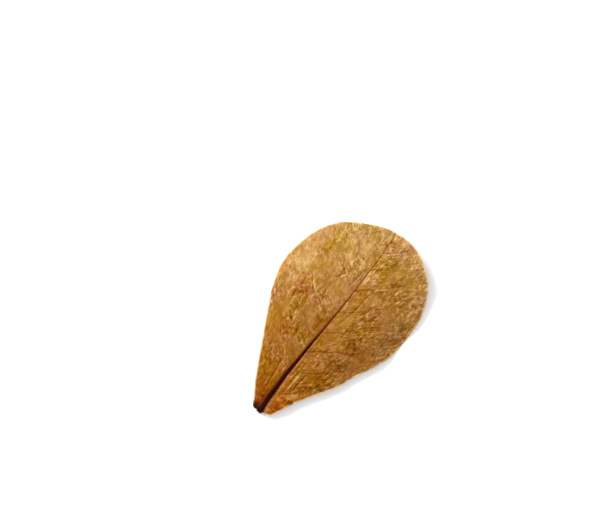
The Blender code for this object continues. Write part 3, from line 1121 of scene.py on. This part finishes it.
    def note_places(self, mesh: bpy.types.Mesh, plan: Plan) -> None:
        """Store where each point lies on the leaf, in millimetres, for the finishes.

        Args:
            mesh: The skin.
            plan: The net.
        """
        flat = np.zeros(plan.x.size)
        red, tone = self.patches(plan)
        vectors = {
            "place_mm": (plan.x.ravel() / MM, plan.y.ravel() / MM, flat),
            "grain_mm": ((plan.side * plan.run).ravel() / MM, plan.foot.ravel() / MM, flat),
        }
        for name, parts in vectors.items():
            values = np.tile(np.stack(parts, axis=1), (2, 1)).ravel()
            mesh.attributes.new(name, "FLOAT_VECTOR", "POINT").data.foreach_set("vector", values)
        numbers = {
            "edge_mm": plan.edge / MM,
            "vein_mm": plan.vein / MM,
            "vein_width_mm": plan.vein_radius / MM,
            "crest_share": plan.rib / self.form.midrib.crest(plan.y),
            "red_share": red,
            "tone_shift": tone,
            "rough_share": plan.rough,
            "cell_share": plan.cell,
            "crease_share": plan.crease / self.creases.small_depth,
        }
        for name, values in numbers.items():
            both = np.tile(values.ravel(), 2)
            mesh.attributes.new(name, "FLOAT", "POINT").data.foreach_set("value", both)


# --- Finishes --------------------------------------------------------------------------


def add_node(tree: bpy.types.NodeTree, kind: str, inputs: dict[int | str, NodeInput] | None = None,
             out: int | str = 0, **settings: object) -> bpy.types.NodeSocket:
    """Add a node with its settings and links.

    Args:
        tree: The material's nodes.
        kind: The node's type.
        inputs: A value, or a socket to link, for each input's number, name or identifier.
        out: The number, name or identifier of the output to return.
        settings: The node's own properties.

    Returns:
        The chosen output.
    """
    node = tree.nodes.new(kind)
    for name, value in settings.items():
        setattr(node, name, value)
    for key, value in (inputs or {}).items():
        if isinstance(key, int):
            socket = node.inputs[key]
        else:
            socket = next(s for s in node.inputs if key in (s.identifier, s.name))
        if isinstance(value, bpy.types.NodeSocket):
            tree.links.new(value, socket)
        else:
            socket.default_value = value
    if isinstance(out, int):
        return node.outputs[out]
    return next(s for s in node.outputs if out in (s.identifier, s.name))


def new_material(name: str) -> tuple[bpy.types.Material, bpy.types.NodeTree]:
    """Make a material with an empty node tree.

    Args:
        name: The material's name.

    Returns:
        The material and its node tree.
    """
    material = bpy.data.materials.new(name)
    material.use_nodes = True
    material.node_tree.nodes.clear()
    return material, material.node_tree


def fill_ramp(socket: bpy.types.NodeSocket, stops: Sequence[tuple[float, str]]) -> None:
    """Give a colour ramp its stops.

    Args:
        socket: The ramp node's output.
        stops: Each stop's place and its hex colour.
    """
    ramp = socket.node.color_ramp
    while len(ramp.elements) < len(stops):
        ramp.elements.new(0.5)
    for element, (place, code) in zip(ramp.elements, stops):
        element.position = place
        element.color = hex_to_linear(code)


def show_surface(tree: bpy.types.NodeTree, surface: bpy.types.NodeSocket) -> None:
    """Send a surface to the material's output."""
    output = tree.nodes.new("ShaderNodeOutputMaterial")
    tree.links.new(surface, output.inputs["Surface"])


@dataclass(frozen=True)
class Mottle:
    """One layer of the skin's mottling.

    Attributes:
        size_mm: How long its spots are across and along.
        weight: How far it shifts the skin's tone.
        octaves: How many finer layers it holds.
        on_grain: Whether it follows the side veins.
        patchy: Whether it fades out where the skin is smooth.
        relief: How far it stands up, as a share of the skin's relief.
    """

    size_mm: tuple[float, float]
    weight: float
    octaves: float = 3.0
    on_grain: bool = False
    patchy: bool = False
    relief: float = 0.0


# From whole zones of the blade down to single specks. The finest one is drawn about
# four times as coarse as real dust and cell walls, which would be too small to see.
MOTTLES = {
    "cloud": Mottle((42, 42), 0.08, octaves=2),
    "blotch": Mottle((17, 17), 0.26, octaves=3),
    "mottle": Mottle((6.5, 6.5), 0.60, octaves=4),
    "dapple": Mottle((3.4, 3.4), 0.56, patchy=True, relief=0.4),
    "fleck": Mottle((1.9, 2.4), 0.52, on_grain=True, patchy=True, relief=0.8),
    "streak": Mottle((1.8, 12), 0.40, on_grain=True, patchy=True, relief=0.7),
    "cross": Mottle((12, 1.8), 0.42, on_grain=True, patchy=True, relief=0.7),
    "grit": Mottle((0.8, 0.8), 0.52, octaves=2, relief=0.4),
}


@dataclass(frozen=True)
class LeafCuticle:
    """The skin of a leaf that dried on the ground: waxy cuticle over brown dead cells.

    Tannins leave the browns, and they gather near the stalk and along the midrib. The
    cells between the finest veins have sunk as they dried, which gives a matte pebbled
    skin crossed by ladder-like veins.
    """

    name: str
    ramp: tuple[tuple[float, str], ...]
    # rim: the pale rim's colour, also used for the painted highlight beside the midrib's crest.
    rim: str
    midrib_dark: str
    midrib_pale: str
    midrib_ridge: str
    midrib_painted_lit_side: str
    stain: str
    line: str
    line_strength: float
    roughness: tuple[float, float]
    bump_mm: float
    seed: float
    tone: float = 0.298
    toward_tip: float = 0.26
    toward_right: float = -0.065
    contrast: float = 1.0
    hue_spread: float = 0.055
    strength_spread: float = 0.4
    mesh_mm: float = 1.7
    rim_mm: float = 1.5
    left_veins: float = 1.0
    vein_gaps: float = 0.2
    sheen: float = 0.04

    def build(self) -> bpy.types.Material:
        """Make the material.

        Returns:
            The material, with its nodes.
        """
        material, tree = new_material(self.name)
        pattern = self.patterns(tree)
        colour = self.hue(tree, pattern, self.base_colour(tree, pattern))
        for paint, amount in (*self.lines(tree, pattern), *self.trims(tree, pattern)):
            shade = hex_to_linear(paint) if isinstance(paint, str) else paint
            colour = add_node(tree, "ShaderNodeMix", {
                "Factor_Float": amount, "A_Color": colour, "B_Color": shade,
            }, out="Result_Color", data_type="RGBA")
        normal = add_node(tree, "ShaderNodeBump", {
            "Height": self.height(tree, pattern), "Distance": self.bump_mm * MM,
            "Strength": 1.0,
        })
        rough = add_node(tree, "ShaderNodeMapRange", {
            "Value": pattern["mottle"], "To Min": self.roughness[0], "To Max": self.roughness[1],
        })
        surface = add_node(tree, "ShaderNodeBsdfPrincipled", {
            "Base Color": colour, "Roughness": rough, "Normal": normal,
            "Specular IOR Level": self.sheen, "Metallic": 0.0,
        })
        show_surface(tree, surface)
        return material

    def fade(self, tree: bpy.types.NodeTree, amount: bpy.types.NodeSocket,
             *bounds: Bound, interpolation: str = "LINEAR") -> bpy.types.NodeSocket:
        """Fade an amount along some of the patterns.

        Args:
            tree: The material's nodes.
            amount: The amount to fade.
            bounds: For each pattern, where the least of the amount is left, where all of
                it is left, and that least share.
            interpolation: How it fades between the two.

        Returns:
            The output of what is left.
        """
        for axis, low, high, least in bounds:
            left = add_node(tree, "ShaderNodeMapRange", {
                "Value": axis, "From Min": low, "From Max": high, "To Min": least,
            }, interpolation_type=interpolation)
            amount = add_node(tree, "ShaderNodeMath", {0: amount, 1: left}, operation="MULTIPLY")
        return amount

    def patterns(self, tree: bpy.types.NodeTree) -> Sockets:
        """Make the patterns that the colour and the relief share.

        Args:
            tree: The material's nodes.

        Returns:
            Each pattern's output, by name: noise from 0 to 1, and the measures that the
            mesh stores for each point.
        """
        found: Sockets = {}
        for name in ("place_mm", "grain_mm"):
            found[name] = add_node(tree, "ShaderNodeAttribute", out="Vector", attribute_name=name)
        for name in ("edge_mm", "vein_mm", "vein_width_mm", "crest_share", "red_share",
                     "tone_shift", "rough_share", "cell_share", "crease_share"):
            found[name] = add_node(tree, "ShaderNodeAttribute", out="Fac", attribute_name=name)
        found["x"] = add_node(tree, "ShaderNodeSeparateXYZ", {0: found["place_mm"]}, out="X")
        found["y"] = found["x"].node.outputs["Y"]
        for number, (name, mottle) in enumerate(MOTTLES.items()):
            spot = tuple(self.seed * axis + 13.7 * number for axis in (1, 2, 3))
            moved = add_node(tree, "ShaderNodeMapping", {
                "Vector": found["grain_mm" if mottle.on_grain else "place_mm"],
                "Scale": (1 / mottle.size_mm[0], 1 / mottle.size_mm[1], 1), "Location": spot,
            })
            found[name] = add_node(tree, "ShaderNodeTexNoise", {
                "Vector": moved, "Scale": 1.0, "Detail": mottle.octaves, "Roughness": 0.6,
            }, out="Fac")
        furrows = add_node(tree, "ShaderNodeMapping", {
            "Vector": found["place_mm"], "Scale": (1.6, 0.07, 1),
        })
        found["furrow"] = add_node(tree, "ShaderNodeTexNoise", {
            "Vector": furrows, "Scale": 1.0, "Detail": 2.0, "Roughness": 0.6,
        }, out="Fac")
        bend = add_node(tree, "ShaderNodeTexNoise", {
            "Vector": found["grain_mm"], "Scale": 0.16, "Detail": 2.0,
        }, out="Color")
        bent = add_node(tree, "ShaderNodeVectorMath", {
            0: bend, 1: (3.2, 3.2, 0), 2: found["grain_mm"],
        }, operation="MULTIPLY_ADD")
        moved = add_node(tree, "ShaderNodeMapping", {
            "Vector": bent, "Scale": (1 / self.mesh_mm, 0.8 / self.mesh_mm, 1),
        })
        found["mesh"] = add_node(tree, "ShaderNodeTexVoronoi", {
            "Vector": moved, "Scale": 1.0, "Randomness": 0.85,
        }, out="Distance", voronoi_dimensions="2D", feature="DISTANCE_TO_EDGE")
        return found

    def base_colour(self, tree: bpy.types.NodeTree, pattern: Sockets) -> bpy.types.NodeSocket:
        """Lay the browns from the dark stalk end to the pale tip, with their mottling and painted
        light and shade on the creases.

        Args:
            tree: The material's nodes.
            pattern: The shared patterns.

        Returns:
            The colour's output.
        """
        tone = add_node(tree, "ShaderNodeMath", {
            0: pattern["y"], 1: self.toward_tip / BLADE_LENGTH_MM, 2: self.tone,
        }, operation="MULTIPLY_ADD")
        tone = add_node(tree, "ShaderNodeMath", {
            0: pattern["x"], 1: self.toward_right / HALF_WIDTH_MM, 2: tone,
        }, operation="MULTIPLY_ADD")
        margin = add_node(tree, "ShaderNodeMapRange", {
            "Value": pattern["edge_mm"], "From Min": 9.0, "From Max": 0.0, "To Max": 0.06,
        }, interpolation_type="SMOOTHSTEP")
        for part in (margin, pattern["tone_shift"]):
            tone = add_node(tree, "ShaderNodeMath", {0: tone, 1: part}, operation="ADD")
        for name, mottle in MOTTLES.items():
            shift = add_node(tree, "ShaderNodeMapRange", {
                "Value": pattern[name], "To Min": -mottle.weight * self.contrast / 2,
                "To Max": mottle.weight * self.contrast / 2,
            }, clamp=False)
            share = pattern["rough_share"] if mottle.patchy else 1.0
            tone = add_node(tree, "ShaderNodeMath", {0: shift, 1: share, 2: tone},
                            operation="MULTIPLY_ADD")
        # The crease share paints the creases' lips paler and their grooves darker: painted light
        # and painted shade.
        for name, weight in (("cell_share", 0.05), ("crease_share", 0.12)):
            tone = add_node(tree, "ShaderNodeMath", {0: pattern[name], 1: weight, 2: tone},
                            operation="MULTIPLY_ADD")
        colour = add_node(tree, "ShaderNodeValToRGB", {0: tone}, out="Color")
        fill_ramp(colour, self.ramp)
        return colour

    def hue(self, tree: bpy.types.NodeTree, pattern: Sockets,
            colour: bpy.types.NodeSocket) -> bpy.types.NodeSocket:
        """Turn the browns redder where tannin gathered, and duller where it washed out.

        Args:
            tree: The material's nodes.
            pattern: The shared patterns.
            colour: The colour so far.

        Returns:
            The colour's output.
        """
        red = add_node(tree, "ShaderNodeMapRange", {
            "Value": pattern["y"], "From Min": 80.0, "From Max": 0.0, "To Max": 0.8,
        }, interpolation_type="SMOOTHSTEP")
        flank = add_node(tree, "ShaderNodeMapRange", {
            "Value": add_node(tree, "ShaderNodeMath", {0: pattern["crest_share"]},
                              operation="ABSOLUTE"),
            "From Min": 3.4, "From Max": 0.9, "To Max": 0.9,
        }, interpolation_type="SMOOTHSTEP")
        flank = self.fade(tree, flank, (pattern["y"], 118.0, 30.0, 0.0))
        for part in (flank, pattern["red_share"]):
            red = add_node(tree, "ShaderNodeMath", {0: red, 1: part}, operation="ADD")
        mixed = []
        for shifts in ((("blotch", 4.4), ("mottle", 4.0)), (("cloud", 1.2), ("blotch", -1.2))):
            amount = red
            for name, shift in shifts:
                amount = add_node(tree, "ShaderNodeMath", {
                    0: add_node(tree, "ShaderNodeMapRange", {
                        "Value": pattern[name], "To Min": -shift, "To Max": shift,
                    }, clamp=False), 1: amount,
                }, operation="ADD")
            mixed.append(amount)
        turned, washed = mixed
        return add_node(tree, "ShaderNodeHueSaturation", {
            "Hue": add_node(tree, "ShaderNodeMath", {
                0: turned, 1: -self.hue_spread / 8, 2: 0.5,
            }, operation="MULTIPLY_ADD"),
            "Saturation": add_node(tree, "ShaderNodeMath", {
                0: washed, 1: self.strength_spread / 8, 2: 1.0,
            }, operation="MULTIPLY_ADD"),
            "Color": colour,
        }, out="Color")

    def lines(self, tree: bpy.types.NodeTree, pattern: Sockets) -> Iterator[Layer]:
        """The dark lines: side veins, ladder veins, the net of the finest ones, and painted shade
        in the creases' grooves.

        Args:
            tree: The material's nodes.
            pattern: The shared patterns.

        Yields:
            The paint of each layer and how much of it there is.
        """
        for name, reach, weight in (("cell_share", 0.30, 0.45), ("mesh", 0.12, 0.40)):
            on_line = add_node(tree, "ShaderNodeMapRange", {
                "Value": pattern[name], "From Min": reach, "From Max": 0.0,
                "To Max": weight * self.line_strength,
            })
            yield self.line, self.fade(tree, on_line, (pattern["mottle"], 0.40, 0.60, 0.0))
        # Painted shade: the vein colour laid along the creases' grooves.
        yield self.line, add_node(tree, "ShaderNodeMapRange", {
            "Value": pattern["crease_share"], "From Min": -0.4, "From Max": -1.3,
            "To Max": 0.6 * self.line_strength,
        })
        width = add_node(tree, "ShaderNodeMath", {0: pattern["vein_width_mm"], 1: 0.15},
                         operation="ADD")
        share = add_node(tree, "ShaderNodeMath", {0: pattern["vein_mm"], 1: width},
                         operation="DIVIDE")
        amount = add_node(tree, "ShaderNodeMapRange", {
            "Value": share, "From Min": 1.3, "From Max": 0.4, "To Max": self.line_strength,
        }, interpolation_type="SMOOTHSTEP")
        # Side veins fade in worn blotches, where they are thin, and on the left half.
        yield self.line, self.fade(
            tree, amount, (pattern["blotch"], 0.38, 0.54, 1 - self.vein_gaps),
            (pattern["vein_width_mm"], 0.20, 0.46, 0.22),
            (pattern["x"], -14.0, 4.0, self.left_veins),
        )

    def trims(self, tree: bpy.types.NodeTree, pattern: Sockets) -> Iterator[Layer]:
        """The specks, the pale rim, a painted highlight beside the crest, the midrib's crest with
        painted light on its left side, and the dark stalk end.

        Args:
            tree: The material's nodes.
            pattern: The shared patterns.

        Yields:
            The paint of each layer and how much of it there is.
        """
        yield self.stain, add_node(tree, "ShaderNodeMapRange", {
            "Value": pattern["grit"], "From Min": 0.66, "From Max": 0.74, "To Max": 0.5,
        })
        rim = add_node(tree, "ShaderNodeMapRange", {
            "Value": pattern["edge_mm"], "From Min": self.rim_mm,
            "From Max": 0.2 * self.rim_mm, "To Max": 0.9,
        }, interpolation_type="SMOOTHSTEP")
        yield self.rim, self.fade(tree, rim, (pattern["mottle"], 0.36, 0.56, 0.2))

        # A painted highlight in the rim's pale colour: a faint line on the gutter's right wall,
        # which faces the key light, beside the crest.
        crest = pattern["crest_share"]
        painted_gutter_highlight = add_node(tree, "ShaderNodeMapRange", {
            "Value": crest, "From Min": 1.15, "From Max": 1.5, "To Max": 0.10,
        }, interpolation_type="SMOOTHSTEP")
        yield self.rim, self.fade(
            tree, painted_gutter_highlight, (crest, 2.3, 1.6, 0.0), (pattern["y"], 110.0, 50.0, 0.0),
            interpolation="SMOOTHSTEP",
        )
        # The crest pales toward the tip and shows redder furrows; its left side, which faces the
        # key light, is painted paler as painted light.
        crest_colour = hex_to_linear(self.midrib_dark)
        for paint, axis, low, high, most in (
            (self.midrib_pale, pattern["y"], 66.0, 126.0, 1.0),
            (self.midrib_ridge, pattern["furrow"], 0.50, 0.72, 0.5),
            (self.midrib_painted_lit_side, crest, -0.25, -1.15, 0.75),
        ):
            crest_colour = add_node(tree, "ShaderNodeMix", {
                "Factor_Float": add_node(tree, "ShaderNodeMapRange", {
                    "Value": axis, "From Min": low, "From Max": high, "To Max": most,
                }),
                "A_Color": crest_colour, "B_Color": hex_to_linear(paint),
            }, out="Result_Color", data_type="RGBA")
        on_crest = add_node(tree, "ShaderNodeMapRange", {
            "Value": add_node(tree, "ShaderNodeMath", {0: crest}, operation="ABSOLUTE"),
            "From Min": 1.28, "From Max": 0.82,
        }, interpolation_type="SMOOTHSTEP")
        yield crest_colour, self.fade(tree, on_crest, (pattern["y"], 178.0, 95.0, 0.65))
        stalk = add_node(tree, "ShaderNodeMapRange", {
            "Value": pattern["y"], "From Min": 4.5, "From Max": -1.0, "To Max": 0.88,
        }, interpolation_type="SMOOTHSTEP")
        yield self.stain, self.fade(tree, stalk, (pattern["x"], 4.0, 1.5, 0.12))

    def height(self, tree: bpy.types.NodeTree, pattern: Sockets) -> bpy.types.NodeSocket:
        """Mix the fine relief: cells sunk between the finest veins, wrinkles and grit.

        Args:
            tree: The material's nodes.
            pattern: The shared patterns.

        Returns:
            The height's output, from 0 to about 2.
        """
        total = add_node(tree, "ShaderNodeMapRange", {
            "Value": pattern["mesh"], "From Max": 0.28, "To Max": 0.35,
        }, interpolation_type="SMOOTHSTEP")
        for name, mottle in MOTTLES.items():
            if not mottle.relief:
                continue
            share = pattern["rough_share"] if mottle.patchy else 1.0
            lift = add_node(tree, "ShaderNodeMath", {0: pattern[name], 1: mottle.relief},
                            operation="MULTIPLY")
            total = add_node(tree, "ShaderNodeMath", {0: lift, 1: share, 2: total},
                             operation="MULTIPLY_ADD")
        return total


@dataclass(frozen=True)
class DriedFibre:
    """Broken or dried-out fibre: the blade's rim, and the torn end of the stalk.

    Both are matte, and streaked along the fibres.
    """

    name: str
    pale: str
    dark: str
    grain_mm: float
    roughness: float = 0.85

    def build(self) -> bpy.types.Material:
        """Make the material.

        Returns:
            The material, with its nodes.
        """
        material, tree = new_material(self.name)
        place = add_node(tree, "ShaderNodeTexCoord", out="Object")
        scale = 1 / (self.grain_mm * MM)
        streaks = add_node(tree, "ShaderNodeTexNoise", {
            "Vector": place, "Scale": scale, "Detail": 3.0, "Roughness": 0.6,
        }, out="Fac")
        colour = add_node(tree, "ShaderNodeValToRGB", {0: streaks}, out="Color")
        fill_ramp(colour, ((0.32, self.dark), (0.66, self.pale)))
        normal = add_node(tree, "ShaderNodeBump", {
            "Height": streaks, "Distance": 0.15 * MM, "Strength": 1.0,
        })
        surface = add_node(tree, "ShaderNodeBsdfPrincipled", {
            "Base Color": colour, "Roughness": self.roughness, "Normal": normal,
            "Specular IOR Level": 0.3, "Metallic": 0.0,
        })
        show_surface(tree, surface)
        return material


# The upper cuticle keeps a little wax, so it has the stronger colour and the redder rib.
UPPER_CUTICLE = LeafCuticle(
    name="dried_upper_cuticle",
    ramp=((0.03, "#4A2808"), (0.14, "#663808"), (0.25, "#7A450C"), (0.36, "#895519"),
          (0.47, "#97682A"), (0.58, "#A67B3E"), (0.69, "#B68E51"), (0.81, "#C9A265"),
          (0.97, "#DDBB86")),
    rim="#DDBE90", midrib_dark="#240000", midrib_pale="#7C3A06", midrib_ridge="#4E1404",
    midrib_painted_lit_side="#7A3A10", stain="#1C0702", line="#5E3008", line_strength=0.8,
    roughness=(0.50, 0.76), bump_mm=0.55, seed=4.0, left_veins=0.25, vein_gaps=0.55,
)
# The lower cuticle has no wax and fine hairs beside its veins, so it is paler and duller.
LOWER_CUTICLE = LeafCuticle(
    name="dried_lower_cuticle",
    ramp=((0.10, "#6E4A26"), (0.30, "#93703F"), (0.48, "#A98652"), (0.64, "#BC9A66"),
          (0.86, "#D2B687")),
    rim="#C9A878", midrib_dark="#5A3216", midrib_pale="#7C522A", midrib_ridge="#7A4A26",
    midrib_painted_lit_side="#6C421F", stain="#3A1E0E", line="#73481F", line_strength=0.85,
    roughness=(0.72, 0.92), bump_mm=0.5, seed=9.0, contrast=0.8,
)
# The rim is where the two cuticles meet: a pale dry thread of fibre round the blade.
RIM_FIBRE = DriedFibre("dried_rim_fibre", pale="#D8B27C", dark="#9C6E3A", grain_mm=1.4)
# The stalk tore off the twig: short dark wood fibres.
STALK_FIBRE = DriedFibre("torn_stalk_fibre", pale="#4A2A18", dark="#160805", grain_mm=0.5)


@dataclass
class StalkFibres:
    """The torn end of the stalk: splinters that stand out of the break."""

    skin: LeafSkin
    count: int = 34
    sides: int = 5
    thickness: float = 0.34 * MM
    longest: float = 1.1 * MM
    root: float = 0.9 * MM

    def build(self, finish: bpy.types.Material) -> bpy.types.Object:
        """Build and dress the splinters.

        Args:
            finish: Their material.

        Returns:
            The splinters, as one piece.
        """
        random = np.random.default_rng(17)
        rib = self.skin.form.midrib
        end = -rib.stub_length
        spine = float(self.skin.form.laid_sheet(rib.offset(np.array(end)), np.array(end)))
        middle = self.skin.origin + Vector((
            float(rib.offset(np.array(end))), end, spine - rib.sink * rib.base_radius,
        ))
        points: list[Vector] = []
        faces: list[list[int]] = []
        for number in range(self.count):
            turn = number * math.pi * (3 - math.sqrt(5))
            away = 0.86 * rib.base_radius * math.sqrt((number + 0.5) / self.count)
            start = middle + Vector((away * math.cos(turn), self.root, away * math.sin(turn)))
            length = self.root + self.longest * random.uniform(0.15, 1.0)
            splay = Vector((math.cos(turn), 0, math.sin(turn))) * random.uniform(-0.05, 0.3)
            heading = (Vector((0, -1, 0)) + splay).normalized()
            width = self.thickness * random.uniform(0.7, 1.3)
            self.add_splinter(points, faces, start, heading * length, width)
        fibres = new_piece("stalk_fibres", points, faces, [finish])
        fibres.data.update()
        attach(fibres, "root")
        return fibres

    def add_splinter(self, points: list[Vector], faces: list[list[int]], start: Vector,
                     reach: Vector, width: float) -> None:
        """Add one splinter, thick where it starts and sharp where it ends.

        Args:
            points: The mesh's points so far.
            faces: The mesh's faces so far.
            start: The middle of its thick end.
            reach: From there to its sharp end.
            width: Its thickness.
        """
        first = len(points)
        for share, size in ((0.0, 1.0), (0.6, 0.85)):
            for corner in range(self.sides):
                turn = corner * math.tau / self.sides
                around = Vector((math.cos(turn), 0, math.sin(turn))) * width * size / 2
                points.append(start + reach * share + around)
        points.append(start + reach)
        tip = len(points) - 1
        for corner in range(self.sides):
            after = (corner + 1) % self.sides
            near, far = first + corner, first + self.sides + corner
            near_after, far_after = first + after, first + self.sides + after
            faces.append([near, near_after, far_after, far])
            faces.append([far, far_after, tip])
        faces.append([first + corner for corner in reversed(range(self.sides))])


# --- The studio ------------------------------------------------------------------------


@dataclass
class Studio:
    """A white sweep under soft light, and a camera that looks straight down."""

    target: Vector
    lens_mm: float = 85.0
    sensor_mm: float = 36.0
    view_width: float = 0.4865
    heading: float = math.radians(37.13)
    floor_size: float = 8.0
    paper_white: float = 0.95
    key_place: tuple[float, float, float] = (-1.25, 0.2, 0.85)
    key_size: float = 0.8
    key_watts: float = 29.0

    def build(self) -> None:
        """Set up the floor, the light and the camera."""
        self.floor()
        self.lights()
        self.camera()
        settings = bpy.context.scene.view_settings
        settings.view_transform = "Standard"
        settings.look = "None"
        settings.exposure = 0.0

    def floor(self) -> None:
        """A white paper sweep."""
        bpy.ops.mesh.primitive_plane_add(size=self.floor_size)
        floor = bpy.context.object
        floor.name = "floor"
        material, tree = new_material("white_paper_sweep")
        surface = add_node(tree, "ShaderNodeBsdfPrincipled", {
            "Base Color": (*[self.paper_white] * 3, 1.0), "Roughness": 0.9,
            "Specular IOR Level": 0.1,
        })
        show_surface(tree, surface)
        floor.data.materials.append(material)
        floor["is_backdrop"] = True

    def lights(self) -> None:
        """A wide soft box on the leaf's left, and white walls all round."""
        world = bpy.data.worlds.new("white_walls")
        world.use_nodes = True
        background = world.node_tree.nodes["Background"]
        background.inputs["Color"].default_value = (1.0, 1.0, 1.0, 1.0)
        background.inputs["Strength"].default_value = 1.0
        bpy.context.scene.world = world
        data = bpy.data.lights.new("key_box", "AREA")
        data.shape = "SQUARE"
        data.size = self.key_size
        data.energy = self.key_watts
        light = bpy.data.objects.new("key_box", data)
        light.location = self.key_place
        way = self.target - light.location
        light.rotation_euler = way.to_track_quat("-Z", "Y").to_euler()
        bpy.context.scene.collection.objects.link(light)

    def camera(self) -> None:
        """A long lens straight above the sweep, turned so that the stalk is lower left."""
        data = bpy.data.cameras.new("camera")
        data.lens = self.lens_mm
        data.sensor_width = self.sensor_mm
        camera = bpy.data.objects.new("camera", data)
        height = self.view_width * self.lens_mm / self.sensor_mm
        camera.location = self.target + Vector((0, 0, height))
        camera.rotation_euler = (0, 0, self.heading)
        bpy.context.scene.collection.objects.link(camera)
        bpy.context.scene.camera = camera


def write_sizes() -> None:
    """Measure the solid's box and the finished leaf's."""
    bpy.context.view_layer.update()
    boxes = {"cad": SOLID_BOX, "visual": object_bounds()}
    sizes = {name: [list(corner) for corner in box] for name, box in boxes.items()}


def main() -> None:
    """Build the leaf and the studio."""
    logging.basicConfig(level=logging.INFO, format="%(message)s")
    form = LeafForm()
    veins = SideVeins(form)
    veins.draw()
    LOG.info("side veins: %d points", len(veins.points))
    creases = Creases(form)
    creases.draw()
    LOG.info("creases: %d points", len(creases.points))
    skin = LeafSkin(form, veins, creases)
    finishes = [part.build() for part in (UPPER_CUTICLE, LOWER_CUTICLE, RIM_FIBRE, STALK_FIBRE)]
    leaf = skin.build(finishes)
    LOG.info("dried leaf: %d faces", len(leaf.data.polygons))
    fibres = StalkFibres(skin).build(finishes[Face.BREAK.value])
    LOG.info("stalk fibres: %d faces", len(fibres.data.polygons))
    Studio(skin.origin + VIEW_MIDDLE_MM * MM).build()


if __name__ == "__main__":
    main()
    write_sizes()
